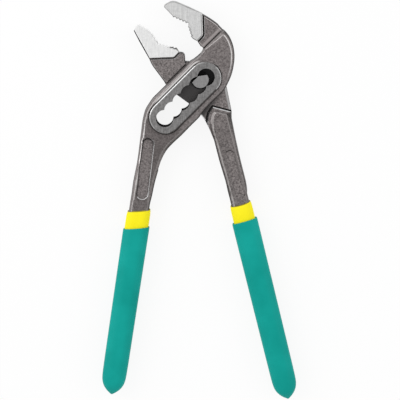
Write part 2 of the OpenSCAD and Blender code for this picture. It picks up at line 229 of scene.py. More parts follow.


# painted shade: dark line round the foot of the raised box face, a painted gleam beside it, and painted
# shade on the skin below its lower end
# top, bottom and across give the slot's middle line, and rows are places along it
boxFoot = {
    "top": 2.825 * mm,
    "bottom": -31.825 * mm,
    "across": 1.385 * mm,
    "dull": (0.07, 0.062, 0.06),
    "shadeShare": 0.5,
    "shadeReach": (20.95 * mm, 9.95 * mm),
    "shadeRows": (-27.825 * mm, -34.825 * mm),
    "litAside": (0.0, -3 * mm),              # the upper left of the foot is lit, and free of painted shade
    "litRows": (4.825 * mm, 6.825 * mm),
    "litReach": (13.45 * mm, 12.45 * mm),
    "line": (10.85 * mm, 10.45 * mm),
    "lineRows": (-41.825 * mm, -37.825 * mm),
    "lineShare": 0.9,
    "faintAside": (4 * mm, 8 * mm),          # the line is fainter on the right
    "faintShare": 0.5,
    "gleam": (0.66, 0.64, 0.63),
    "gleamInner": (10.55 * mm, 10.85 * mm),
    "gleamOuter": (11.85 * mm, 11.55 * mm),
    "gleamStart": (-31.825 * mm, -26.825 * mm),
    "gleamEnd": (8.825 * mm, 5.825 * mm),
    "gleamAside": (-6 * mm, -8 * mm),
}


# distance in the plane from the slot's middle line, in metres, and its part across the line
def offSlotLine(tree, slotSpot, line):
    beyond = combine(tree, "SUBTRACT", slotSpot["Y"], line["top"])
    under = combine(tree, "SUBTRACT", line["bottom"], slotSpot["Y"])
    past = combine(tree, "MAXIMUM", combine(tree, "MAXIMUM", beyond, under), 0.0)
    aside = combine(tree, "SUBTRACT", slotSpot["X"], line["across"])
    total = combine(tree, "ADD", product(tree, past, past), product(tree, aside, aside))
    return combine(tree, "SQRT", total), aside


# painted shade on the skin near the lower end of the box's foot
def footShade(tree, skin, slotSpot, away, foot):
    near = shareBetween(tree, away, *foot["shadeReach"])
    lower = shareBetween(tree, slotSpot["Y"], *foot["shadeRows"])
    return mixColour(tree, product(tree, near, lower, foot["shadeShare"]), skin, foot["dull"])


def footLight(tree, slotSpot, aside, foot):
    return product(tree, shareBetween(tree, aside, *foot["litAside"]),
                   shareBetween(tree, slotSpot["Y"], *foot["litRows"]))


# painted shade line at the foot, and the painted gleam beside it
def footLine(tree, face, slotSpot, away, aside, lit, foot, paintedShade):
    gleam = product(tree, within(tree, away, foot["gleamInner"], foot["gleamOuter"]),
                    within(tree, slotSpot["Y"], foot["gleamStart"], foot["gleamEnd"]),
                    shareBetween(tree, aside, *foot["gleamAside"]))
    face = mixColour(tree, gleam, face, foot["gleam"])
    faint = product(tree, shareBetween(tree, aside, *foot["faintAside"]), foot["faintShare"])
    upper = combine(tree, "SUBTRACT", shareBetween(tree, slotSpot["Y"], *foot["lineRows"]), faint)
    shaded = combine(tree, "SUBTRACT", foot["lineShare"], lit)
    line = product(tree, shareBetween(tree, away, *foot["line"]), upper, shaded)
    return mixColour(tree, line, face, paintedShade)


# painted highlight: light band on the neck beside its crease
neckCrease = {
    "across": -13.5 * mm,
    "half": (1.05 * mm, 0.55 * mm),
    "start": (14 * mm, 15.5 * mm),
    "end": (31 * mm, 29.5 * mm),
    "light": (0.42, 0.38, 0.375),
    "share": 0.8,
}


def creaseBand(tree, face, slotSpot, crease):
    off = combine(tree, "ABSOLUTE", combine(tree, "SUBTRACT", slotSpot["X"], crease["across"]))
    band = product(tree, shareBetween(tree, off, *crease["half"]),
                   within(tree, slotSpot["Y"], crease["start"], crease["end"]), crease["share"])
    return mixColour(tree, band, face, crease["light"])


# painted shadow: dark stripe on the web under the slot, darker above the pin, and a dark ring of painted
# shade round the pin
webShadow = {
    "low": (0.06, 0.057, 0.057),
    "high": (0.012, 0.012, 0.012),
    "highFrom": (0.0, 3 * mm),
    "slant": 0.25,
    "right": (17.5 * mm, 13 * mm),
    "left": (-11.5 * mm, -10 * mm),
    "pinRing": (6.4 * mm, 5.9 * mm),
}


def shadowStripe(tree, face, slotSpot, stripe):
    slanted = combine(tree, "ADD", slotSpot["X"], product(tree, slotSpot["Y"], stripe["slant"]))
    under = product(tree, shareBetween(tree, slanted, *stripe["right"]),
                    shareBetween(tree, slotSpot["X"], *stripe["left"]))
    above = shareBetween(tree, slotSpot["Y"], *stripe["highFrom"])
    face = mixColour(tree, under, face, mixColour(tree, above, stripe["low"], stripe["high"]))
    squares = combine(tree, "ADD", product(tree, slotSpot["X"], slotSpot["X"]),
                      product(tree, slotSpot["Y"], slotSpot["Y"]))
    ring = shareBetween(tree, combine(tree, "SQRT", squares), *stripe["pinRing"])
    return mixColour(tree, ring, face, stripe["high"])


# sides and edges have a colour for normals toward -X, toward +X, and between -X and +Y: painted shade on
# the sides and painted highlight on the worn edges, set by how the light falls on each facing
forgedLook = {
    "dark": (0.105, 0.092, 0.091),
    "light": (0.295, 0.265, 0.261),
    # painted shade: the near-black colour for crevices and for the dark lines and bands
    "paintedShade": (0.012, 0.011, 0.01),
    # noise is given by its number per metre, detail and roughness
    "scale": (950, 5, 0.6),          # patches of forge scale
    "grain": (1500, 3, 0.6),         # shot-blasted grain
    "scaleShare": 0.6,
    "skinStops": (0.38, 0.62),
    # flat part of the normal: from -X to +X, away from +Y, and toward +Y
    "eastFrom": (-0.35, 0.35),
    "northTo": (0.97, 0.88),
    "raisedFrom": (0.3, 0.65),
    "leastTilt": 0.0005,
    # upright part of the normal, for the painted shade of the sides, the steepest part of the right sides,
    # and the worn edges with their painted highlight
    "sideStops": ((0.6, 1), (0.88, 0)),
    "skirtTo": (0.62, 0.72),
    "edgeStops": ((0.93, 0), (0.952, 1), (0.976, 1), (0.989, 0)),
    "sides": ((0.2, 0.186, 0.182), (0.04, 0.037, 0.036), (0.26, 0.245, 0.24)),
    "skirt": (0.04, 0.037, 0.036),
    "edges": ((0.52, 0.5, 0.49), (0.8, 0.775, 0.765), (0.48, 0.455, 0.45)),
    "edgePatches": ((0.3, 0.45), (0.55, 1.0)),
    "dimHighlight": (0.25, 0.235, 0.23),   # worn edge facing +X, below the hook, with a dimmer painted highlight
    "dimHighlightTo": (0.0, 13 * mm),
    # reach of the ambient occlusion that paints shade into crevices
    "crevice": 1.6 * mm,
    "creviceStops": ((0.75, 1), (0.92, 0)),
    "metallic": 0.8,
    "rough": ((0.3, 0.42), (0.7, 0.58)),
    "edgeRough": (0.3, 0.3, 0.3),
    "bump": 0.4,
    "bumpDepth": 0.14 * mm,
    "shaft": slotShaft,
    "thinEdge": slotThinEdge,
    "foot": boxFoot,
    "crease": neckCrease,
    "flank": None,
    "stripe": None,
}
pinForgedLook = dict(
    forgedLook,
    dark=(0.08, 0.071, 0.07),
    light=(0.33, 0.297, 0.292),
    sideStops=((0.76, 1), (0.91, 0)),
    # the pin lever's own painted shade on the sides and painted highlight on the edges, by facing
    sides=((0.05, 0.046, 0.045), (0.06, 0.056, 0.055), (0.03, 0.028, 0.027)),
    skirt=(0.26, 0.245, 0.24),
    edges=((0.44, 0.42, 0.41), (0.3, 0.28, 0.275), (0.62, 0.6, 0.59)),
    dimHighlight=(0.2, 0.186, 0.182),
    crevice=2.2 * mm,
    creviceStops=((0.62, 1), (0.8, 0)),
    shaft=pinShaft,
    thinEdge=None,
    foot=None,
    crease=None,
    flank=pinFlank,
    stripe=webShadow,
)


def forgedSteel(name, look):
    mat, tree, shader = newMaterial(name)
    place = objectPlace(tree)
    spot = split(tree, place)
    slotSpot = split(tree, objectPlace(tree, slotTurn))
    foot = look["foot"]
    patches = noiseOn(tree, place, *look["scale"])
    grain = noiseOn(tree, place, *look["grain"])
    mottled = blendNoise(tree, patches, grain, look["scaleShare"])
    skin = ramp(tree, mottled, list(zip(look["skinStops"], (look["dark"], look["light"]))))
    skin = shaftSkin(tree, skin, spot, look["shaft"])
    # painted shade in crevices, from ambient occlusion; the lit upper left of the box's foot is kept clear
    # of it
    crevice = greyRamp(tree, openness(tree, look["crevice"]), look["creviceStops"])
    if foot:
        away, aside = offSlotLine(tree, slotSpot, foot)
        skin = footShade(tree, skin, slotSpot, away, foot)
        lit = footLight(tree, slotSpot, aside, foot)
        clean = product(tree, lit, shareBetween(tree, away, *foot["litReach"]))
        crevice = product(tree, crevice, combine(tree, "SUBTRACT", 1.0, clean))
    # which way the surface faces
    coords = tree.nodes.new("ShaderNodeTexCoord")
    facing = split(tree, coords.outputs["Normal"])
    upright = combine(tree, "ABSOLUTE", facing["Z"])
    tilted = combine(tree, "SUBTRACT", 1.0, product(tree, facing["Z"], facing["Z"]))
    leaning = combine(tree, "SQRT", combine(tree, "MAXIMUM", tilted, look["leastTilt"]))
    north = combine(tree, "DIVIDE", facing["Y"], leaning)
    east = combine(tree, "DIVIDE", facing["X"], leaning)
    rightward = product(tree, shareBetween(tree, east, *look["eastFrom"]),
                        shareBetween(tree, north, *look["northTo"]))
    raised = shareBetween(tree, north, *look["raisedFrom"])
    # sides, darkened as painted shade by which way they face
    left, right, upperLeft = look["sides"]
    sideLeft = mixColour(tree, raised, left, upperLeft)
    sideRight = mixColour(tree, shareBetween(tree, upright, *look["skirtTo"]), look["skirt"], right)
    side = greyRamp(tree, upright, look["sideStops"])
    face = mixColour(tree, side, skin, mixColour(tree, rightward, sideLeft, sideRight))
    # worn edges, brightened as painted highlight by which way they face
    left, right, upperLeft = look["edges"]
    edgeLeft = mixColour(tree, raised, left, upperLeft)
    edgeRight = mixColour(tree, shareBetween(tree, spot["Y"], *look["dimHighlightTo"]), look["dimHighlight"], right)
    slope = upright
    if look["thinEdge"]:
        slope, edgeLeft = thinnedEdge(tree, upright, edgeLeft, spot, rightward, look["thinEdge"])
    wearAndHighlight = product(tree, greyRamp(tree, slope, look["edgeStops"]),
                     greyRamp(tree, mottled, look["edgePatches"]))
    face = mixColour(tree, wearAndHighlight, face, mixColour(tree, rightward, edgeLeft, edgeRight))
    # painted shade in crevices, and the painted shade and highlight marks of single places
    if look["flank"]:
        face = flankBand(tree, face, look["flank"], look["paintedShade"])
    face = mixColour(tree, crevice, face, look["paintedShade"])
    if foot:
        face = footLine(tree, face, slotSpot, away, aside, lit, foot, look["paintedShade"])
    if look["crease"]:
        face = creaseBand(tree, face, slotSpot, look["crease"])
    if look["stripe"]:
        face = shadowStripe(tree, face, slotSpot, look["stripe"])
    link(tree, face, shader.inputs["Base Color"])
    rough = mixColour(tree, wearAndHighlight, greyRamp(tree, patches, look["rough"]), look["edgeRough"])
    link(tree, rough, shader.inputs["Roughness"])
    shader.inputs["Metallic"].default_value = look["metallic"]
    link(tree, bumpFrom(tree, mottled, look["bump"], look["bumpDepth"]), shader.inputs["Normal"])
    return mat


# dark and light of the grinding lines, their turn in degrees and number per metre, and the roughness
boxGroundLook = {
    "dark": (0.132, 0.128, 0.127), "light": (0.355, 0.349, 0.347),
    "turn": 45, "lines": 2600, "rough": (0.34, 0.46),
}
# painted highlight: bright copy of ground steel for chamfers and edges toward the light
boxRimLook = {
    "dark": (0.6, 0.6, 0.6), "light": (0.8, 0.8, 0.8),
    "turn": 45, "lines": 1500, "rough": (0.22, 0.32),
}
hookGroundLook = {
    "dark": (0.62, 0.62, 0.62), "light": (0.82, 0.82, 0.815),
    "turn": 20, "lines": 2400, "rough": (0.36, 0.46),
}
# painted highlight: the lower jaw's copy is lighter than the hook's
lowerGroundLook = {
    "dark": (0.82, 0.82, 0.82), "light": (0.97, 0.97, 0.965),
    "turn": -35, "lines": 2400, "rough": (0.36, 0.46),
}
# painted highlight: near-white copy for the brightest chamfers, steps and teeth walls
whiteRimLook = {
    "dark": (0.9, 0.9, 0.9), "light": (1.0, 1.0, 1.0),
    "turn": 0, "lines": 1500, "rough": (0.25, 0.35),
}
# grey copy for chamfers and jaw walls, between the painted highlight and painted shade copies
greyRimLook = {
    "dark": (0.34, 0.338, 0.336), "light": (0.5, 0.497, 0.495),
    "turn": 0, "lines": 1500, "rough": (0.3, 0.4),
}
# painted shade: dim copy for the box chamfer's right side
dimRimLook = {
    "dark": (0.075, 0.07, 0.069), "light": (0.13, 0.122, 0.12),
    "turn": 45, "lines": 1500, "rough": (0.4, 0.5),
}
# plain steel copy for the handle's lip slope, in place of the painted side shade, and for the panel rim
panelRimLook = {
    "dark": (0.2, 0.185, 0.182), "light": (0.34, 0.315, 0.31),
    "turn": 15, "lines": 1500, "rough": (0.4, 0.5),
}
pinGroundLook = {
    "dark": (0.235, 0.232, 0.232), "light": (0.37, 0.365, 0.364),
    "turn": 12, "lines": 2600, "rough": (0.34, 0.46),
}
groundFinish = {
    "stretch": (1, 0.06, 1),     # draws the noise out into lines
    "lineDetail": (3, 0.6),
    "clouds": (600, 4, 0.55),    # soft patches
    "lineShare": 0.55,
    "stops": (0.34, 0.66),
    "metallic": 1.0,
    "roughStops": (0.3, 0.7),
    "bump": 0.18,
    "bumpDepth": 0.05 * mm,
}


def groundSteel(name, look):
    finish = groundFinish
    mat, tree, shader = newMaterial(name)
    along = objectPlace(tree, look["turn"], finish["stretch"])
    lines = noiseOn(tree, along, look["lines"], *finish["lineDetail"])
    clouds = noiseOn(tree, objectPlace(tree), *finish["clouds"])
    both = blendNoise(tree, lines, clouds, finish["lineShare"])
    face = ramp(tree, both, list(zip(finish["stops"], (look["dark"], look["light"]))))
    link(tree, face, shader.inputs["Base Color"])
    rough = greyRamp(tree, lines, list(zip(finish["roughStops"], look["rough"])))
    link(tree, rough, shader.inputs["Roughness"])
    shader.inputs["Metallic"].default_value = finish["metallic"]
    link(tree, bumpFrom(tree, lines, finish["bump"], finish["bumpDepth"]), shader.inputs["Normal"])
    return mat


# near-black steel: dark oxide in the slot and the bore, and painted shade where it stands for deep shadow
# on the window faces, the pin's shank, gullets, the jaw's back and shaded chamfers
slotWallLook = {
    "dark": (0.008, 0.008, 0.008), "light": (0.022, 0.021, 0.021), "stops": (0.3, 0.7),
    "patches": (900, 3, 0.5), "rough": 0.6, "shine": 0.02, "bump": 0.2, "bumpDepth": 0.05 * mm,
}


def oxideAndShadeSteel(name, look):
    mat, tree, shader = newMaterial(name)
    patches = noiseOn(tree, objectPlace(tree), *look["patches"])
    face = ramp(tree, patches, list(zip(look["stops"], (look["dark"], look["light"]))))
    link(tree, face, shader.inputs["Base Color"])
    shader.inputs["Roughness"].default_value = look["rough"]
    shader.inputs["Specular IOR Level"].default_value = look["shine"]
    link(tree, bumpFrom(tree, patches, look["bump"], look["bumpDepth"]), shader.inputs["Normal"])
    return mat


# pool and skin are the dip's soft unevenness and its fine grain, in number per metre
greenLook = {
    "dark": (0.003, 0.29, 0.25), "light": (0.006, 0.35, 0.305),
    "rough": (0.45, 0.55), "pool": 55, "skin": 1500,
}
yellowLook = {
    "dark": (0.88, 0.76, 0.01), "light": (0.95, 0.84, 0.018),
    "rough": (0.42, 0.52), "pool": 70, "skin": 1500,
}
# painted shade: dark line along the yellow dip's rim
dipRimShadeLook = {
    "dark": (0.22, 0.18, 0.025), "light": (0.38, 0.31, 0.035),
    "rough": (0.45, 0.55), "pool": 300, "skin": 1500,
}
vinylFinish = {
    "poolDetail": (3, 0.5),
    "skinDetail": (2, 0.5),
    "stops": (0.3, 0.7),
    "shine": 0.07,
    "poolHeight": 6.0,           # against the fine grain
    "bump": 0.12,
    "bumpDepth": 0.06 * mm,
}


def dipVinyl(name, look):
    finish = vinylFinish
    mat, tree, shader = newMaterial(name)
    place = objectPlace(tree)
    pool = noiseOn(tree, place, look["pool"], *finish["poolDetail"])
    skin = noiseOn(tree, place, look["skin"], *finish["skinDetail"])
    face = ramp(tree, pool, list(zip(finish["stops"], (look["dark"], look["light"]))))
    link(tree, face, shader.inputs["Base Color"])
    rough = greyRamp(tree, skin, list(zip(finish["stops"], look["rough"])))
    link(tree, rough, shader.inputs["Roughness"])
    shader.inputs["Specular IOR Level"].default_value = finish["shine"]
    waves = combine(tree, "ADD", product(tree, pool, finish["poolHeight"]), skin)
    link(tree, bumpFrom(tree, waves, finish["bump"], finish["bumpDepth"]), shader.inputs["Normal"])
    return mat


forgedMat = forgedSteel("forgedSteel", forgedLook)
webMat = forgedSteel("forgedPinLever", pinForgedLook)
boxGroundMat = groundSteel("groundBoxFace", boxGroundLook)
boxRimMat = groundSteel("boxRimHighlight", boxRimLook)
hookGroundMat = groundSteel("groundHookJaw", hookGroundLook)
lowerGroundMat = groundSteel("groundLowerJaw", lowerGroundLook)
whiteRimMat = groundSteel("whiteRimHighlight", whiteRimLook)
greyRimMat = groundSteel("groundGreyRim", greyRimLook)
dimRimMat = groundSteel("dimRimShade", dimRimLook)
panelRimMat = groundSteel("plainPanelRim", panelRimLook)
pinGroundMat = groundSteel("groundPinEnd", pinGroundLook)
slotWallMat = oxideAndShadeSteel("slotWallOxideAndShade", slotWallLook)
greenMat = dipVinyl("greenVinyl", greenLook)
yellowMat = dipVinyl("yellowVinyl", yellowLook)
dipRimShadeMat = dipVinyl("yellowRimShade", dipRimShadeLook)
print("materials made")


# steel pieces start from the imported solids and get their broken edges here
# from here to the stage, plain lengths are in mm, and those times mm are in metres
steelShape = {
    "merge": 0.002 * mm,
    "cutMerge": 0.0001 * mm,
    "flatAngle": 0.4,        # facets closer than this become one face, in degrees
    "sharpAngle": 38,        # edges flatter than this aren't broken
    "smoothAngle": 34,
    "level": 0.95,           # upward part of the normal of a level face
    "wall": 0.3,             # and of a wall
    "upright": 0.1,          # and of an upright wall
    "edgeSlack": 0.02,
    "faceSlack": 0.05,
    "rimSlack": 0.1,
    "flatsWeight": 100,
}
# segments across a broken edge
chamfer = 1
rounding = 2


def steelCopy(node):
    bm = bmesh.new()
    bm.from_mesh(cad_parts[node].data)
    bmesh.ops.remove_doubles(bm, verts=bm.verts, dist=steelShape["merge"])
    bmesh.ops.dissolve_limit(bm, angle_limit=math.radians(steelShape["flatAngle"]),
                             verts=bm.verts[:], edges=bm.edges[:])
    bm.normal_update()
    return bm


def isLevel(normal):
    return abs(normal.z) > steelShape["level"]


def isWall(normal):
    return abs(normal.z) < steelShape["wall"]


def onLevel(verts, heights):
    return any(all(abs(v.co.z / mm - h) < steelShape["edgeSlack"] for v in verts) for h in heights)


def onHeight(z, heights):
    return min(abs(z - h) for h in heights) < steelShape["faceSlack"]


def zoneNumbers(mats):
    return {name: number for number, name in enumerate(mats)}


def faceZone(bm, zone, test):
    for face in bm.faces:
        if test(face.calc_center_median() / mm, face.normal):
            face.material_index = zone


def wallZone(bm, zone, heights, test):
    for face in bm.faces:
        reaches = any(onLevel([v], heights) for v in face.verts)
        standing = abs(face.normal.z) < steelShape["upright"]
        if reaches and standing and test(face.calc_center_median() / mm, face.normal):
            face.material_index = zone


# edges are picked by their middle and by the normal of the steeper face beside them
def breakEdges(bm, width, segments, zone, test, heights=None):
    picked = []
    for edge in bm.edges:
        if len(edge.link_faces) != 2 or not edge.is_convex:
            continue
        if edge.calc_face_angle() < math.radians(steelShape["sharpAngle"]):
            continue
        wall = min((f.normal for f in edge.link_faces), key=lambda n: abs(n.z))
        middle = (edge.verts[0].co + edge.verts[1].co) / 2 / mm
        if (heights is None or onLevel(edge.verts, heights)) and test(middle, wall):
            picked.append(edge)
    made = bmesh.ops.bevel(bm, geom=picked, offset=width, offset_type="OFFSET", segments=segments,
                           profile=0.5, affect="EDGES", clamp_overlap=False, material=-1)
    bm.normal_update()
    if zone is not None:
        for face in made["faces"]:
            face.material_index = zone
    return made["faces"]


def offSegment(point, start, end):
    flat = Vector((point.x, point.y))
    run = end - start
    share = max(0.0, min(1.0, (flat - start).dot(run) / run.length_squared))
    return (flat - start - run * share).length


# panels are on the front only, so their edges lie above panelFrom
def onPanelEdge(place, plan):
    off = offSegment(place, *plan["panel"]) - plan["panelHalf"]
    return place.z > plan["panelFrom"] and abs(off) < steelShape["rimSlack"]


def finishPiece(bm, name, mats, body, node, smoothAngle):
    mesh = bpy.data.meshes.new(name)
    for face in bm.faces:
        face.smooth = True
    for edge in bm.edges:
        if len(edge.link_faces) == 2 and edge.calc_face_angle() > math.radians(smoothAngle):
            edge.smooth = False
    bm.to_mesh(mesh)
    bm.free()
    for mat in mats:
        mesh.materials.append(mat)
    piece = bpy.data.objects.new(name, mesh)
    bpy.context.scene.collection.objects.link(piece)
    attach(piece, body)
    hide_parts(node)
    return piece


def finishSteel(bm, name, mats, body, node):
    piece = finishPiece(bm, name, mats, body, node, steelShape["smoothAngle"])
    mod = piece.modifiers.new("flats", "WEIGHTED_NORMAL")
    mod.keep_sharp = True
    mod.weight = steelShape["flatsWeight"]


slotLeverMats = {
    "forged": forgedMat,
    "boxFace": boxGroundMat,
    "jawFace": hookGroundMat,
    "dark": slotWallMat,
    "bright": boxRimMat,
    "white": whiteRimMat,
    "grey": greyRimMat,
    "dim": dimRimMat,
}
slotLeverPlan = {
    "boxFaces": (0.0, 15.0),
    "windowFaces": (3.8, 11.2),
    "jawFaces": (2.0, 13.0),
    "neckFaces": (2.6, 12.4),
    "slot": (Vector((3.543, 1.584)), Vector((-22.09, -24.049))),
    "slotReach": 5.45,          # walls this near to the slot's line are its own
    "slotEdgeReach": 6,
    "rimReach": 8,              # the box's rim is further off
    # parts of the rim, as shares of the slot's length
    "leftRimFrom": -0.15,
    "leftRimBright": (0, 1.12),
    "rightRimTo": 1.1,
    "rightRimGrey": 0.02,
    "hookFrom": 19.5,
    "stepFacing": 0.6,          # the ground jaw's step faces +X
    "gulletFacing": (0.2, -0.6),
    "panel": (Vector((-32.29, -40.05)), Vector((-36.09, -71.25))),
    "panelHalf": 3.4,
    "panelFrom": 10,
    "panelLit": (-0.25, 0.35),
    "boxEdge": 0.65 * mm,
    "boxEdgeLift": 0.3 * mm,    # flattens the box's chamfer
    "slotEdge": 0.18 * mm,
    "jawEdge": 0.45 * mm,
    "gulletEdge": 0.6 * mm,
    "stepEdge": 0.4 * mm,
    "grooveEdge": 0.3 * mm,
    "panelEdge": 0.45 * mm,
}


# the chamfer round the box face is bright on the left, dim on the right and grey toward its ends: painted
# highlight and painted shade
def chamferBox(bm, zone, offSlot):
    plan = slotLeverPlan
    start, end = plan["slot"]
    run = (end - start).normalized()
    brightFrom, brightTo = plan["leftRimBright"]
    rim = breakEdges(bm, plan["boxEdge"], chamfer, zone["boxFace"],
                     lambda c, w: offSlot(c) > plan["rimReach"], plan["boxFaces"])
    for face in rim:
        middle = face.calc_center_median().xy / mm - start
        along = middle.dot(run) / (end - start).length
        onLeft = middle.dot(Vector((-run.y, run.x))) < 0
        if onLeft and along > plan["leftRimFrom"]:
            face.material_index = zone["bright"] if brightFrom < along < brightTo else zone["grey"]
        elif not onLeft and along < plan["rightRimTo"]:
            face.material_index = zone["grey"] if along < plan["rightRimGrey"] else zone["dim"]
    low, high = plan["boxFaces"]
    slack = steelShape["rimSlack"]
    for v in {v for f in rim for v in f.verts}:
        if low + slack < v.co.z / mm < high - slack:
            v.co.z += math.copysign(plan["boxEdgeLift"], v.co.z - midHeight * mm)


def makeSlotLever():
    plan = slotLeverPlan
    zone = zoneNumbers(slotLeverMats)
    bm = steelCopy("slot_lever")
    jaw = plan["jawFaces"]
    gulletX, gulletY = plan["gulletFacing"]
    litX, litY = plan["panelLit"]
    offSlot = lambda c: offSegment(c, *plan["slot"])
    onSlotEdge = lambda c, w: offSlot(c) < plan["slotEdgeReach"]
    onHook = lambda c: c.y > plan["hookFrom"]
    onStep = lambda c, w: onHook(c) and w.x > plan["stepFacing"]
    inGullet = lambda c, w: onHook(c) and w.x > gulletX and w.y < gulletY
    faceZone(bm, zone["boxFace"], lambda c, n: isLevel(n) and onHeight(c.z, plan["boxFaces"]))
    faceZone(bm, zone["jawFace"], lambda c, n: isLevel(n) and onHook(c) and onHeight(c.z, jaw))
    # the slot's walls and the window's faces take the near-black steel: oxide, and painted shade
    faceZone(bm, zone["dark"], lambda c, n: isWall(n) and offSlot(c) < plan["slotReach"])
    faceZone(bm, zone["dark"], lambda c, n: isLevel(n) and onHeight(c.z, plan["windowFaces"]))
    wallZone(bm, zone["grey"], jaw, lambda c, n: onHook(c) and n.x < plan["stepFacing"])
    chamferBox(bm, zone, offSlot)
    breakEdges(bm, plan["slotEdge"], rounding, None, onSlotEdge, plan["boxFaces"])
    # painted highlight on the jaw's step edge, painted shade on its gullet edges, and the grey copy on its
    # other edges
    breakEdges(bm, plan["stepEdge"], chamfer, zone["white"], onStep, jaw)
    breakEdges(bm, plan["gulletEdge"], chamfer, zone["dark"], inGullet, jaw)
    breakEdges(bm, plan["jawEdge"], chamfer, zone["grey"], lambda c, w: onHook(c), jaw)
    breakEdges(bm, plan["grooveEdge"], rounding, zone["grey"], lambda c, w: onHook(c), plan["neckFaces"])
    # the panel rim's faces toward the light take the painted highlight
    panelRim = breakEdges(bm, plan["panelEdge"], chamfer, zone["forged"], lambda c, w: onPanelEdge(c, plan))
    for face in panelRim:
        if face.normal.x < litX or face.normal.y > litY:
            face.material_index = zone["bright"]
    mats = slotLeverMats.values()
    finishSteel(bm, "slot_lever_forging", mats, "slot_lever_body", "slot_lever")


pinLeverMats = {
    "forged": webMat,
    "jawFace": lowerGroundMat,
    "dark": slotWallMat,
    "white": whiteRimMat,
    "grey": greyRimMat,
    "bright": boxRimMat,
    "lip": panelRimMat,
}
pinLeverPlan = {
    "jawFaces": (2.0, 13.0),
    "neckFaces": (2.6, 12.4),
    "webFaces": (4.0, 11.0),
    "webGrooves": (4.6, 10.4),
    "boreReach": 5.35,          # walls this near to the pin's axis are the bore's
    "jawFrom": 5,
    "stepFacing": -0.6,         # the ground jaw's step faces -Y
    "teeth": (-19, -0.3),       # walls left of this that don't face down
    "heel": (-20, 0.5),         # walls right of this that face up
    "corner": Vector((-27, 22.9)),      # corner of the gullet
    "cornerReach": (0.9, 1),
    "back": (Vector((-31.3, 12.2)), Vector((-41.1, 30.2))),
    "backShadeWidth": 0.55,           # width of the painted shade strip along the jaw's back
    "backEdge": 1.5,            # reach of the painted highlight strip inside it
    "backFall": 0.5,
    "lip": Vector((13.0, -27.0)),       # middle of the handle's raised top
    "lipRows": (-27.5, -17),
    "lipRight": 16,
    "lipSlope": (0.3, 0.985),
    "lipLevel": 3.52,           # least distance from the middle plane
    "lipEdgeRows": (-34, -15),
    "lipEdgeRight": 18,
    "webEdgeCorner": (12, -2.5),
    "webEdgeFacing": 0.6,
    "webEdgeLevel": 0.65,       # upper facet of the web's edge
    "webEdgeEnd": -18.5,        # it takes a painted highlight above this
    "panel": (Vector((18.2, -47.2)), Vector((24.6, -72.2))),
    "panelHalf": 2.8,
    "panelFrom": 10,
    "panelShaded": -0.45,
    "jawEdge": 0.3 * mm,
    "gulletEdge": 0.5 * mm,
    "stepEdge": 0.4 * mm,
    "grooveEdge": 0.3 * mm,
    "webEdge": 1.5 * mm,
    "lipEdge": 0.55 * mm,
    "panelEdge": 0.35 * mm,
}


# the jaw's back is cut into a strip of painted shade and a strip of painted highlight that fall away to its
# outline
def chamferBack(bm, zone):
    plan = pinLeverPlan
    start, end = plan["back"]
    run = (end - start).normalized()
    inward = Vector((run.y, -run.x))
    depth = lambda c: (c.xy - start).dot(inward)
    jawFaces = lambda: [f for f in bm.faces if f.material_index == zone["jawFace"]]
    for reach in (plan["backShadeWidth"], plan["backEdge"]):
        pad = jawFaces()
        geom = pad + list({e for f in pad for e in f.edges}) + list({v for f in pad for v in f.verts})
        bmesh.ops.bisect_plane(bm, geom=geom, dist=steelShape["cutMerge"], plane_no=(*inward, 0),
                               plane_co=(*((start + inward * reach) * mm), 0))
    pad = jawFaces()
    for v in {v for f in pad for v in f.verts}:
        fall = max(0.0, plan["backEdge"] - depth(v.co / mm)) * plan["backFall"] * mm
        v.co.z -= math.copysign(fall, v.co.z - midHeight * mm)
    for face in pad:
        inside = depth(face.calc_center_median() / mm)
        if inside < plan["backEdge"]:
            face.material_index = zone["dark"] if inside < plan["backShadeWidth"] else zone["white"]
    bm.normal_update()


def onLip(c, n):
    plan = pinLeverPlan
    low, high = plan["lipRows"]
    steep, flat = plan["lipSlope"]
    inPlace = low < c.y < high and c.x < plan["lipRight"]
    return inPlace and steep < abs(n.z) < flat and abs(c.z - midHeight) > plan["lipLevel"]


def onLipEdge(c, w):
    plan = pinLeverPlan
    low, high = plan["lipEdgeRows"]
    outward = w.xy.dot(c.xy - plan["lip"]) > 0
    return outward and low < c.y < high and c.x < plan["lipEdgeRight"]


def onWebEdge(c, w):
    plan = pinLeverPlan
    left, top = plan["webEdgeCorner"]
    return c.x > left and c.y < top and w.x > plan["webEdgeFacing"]


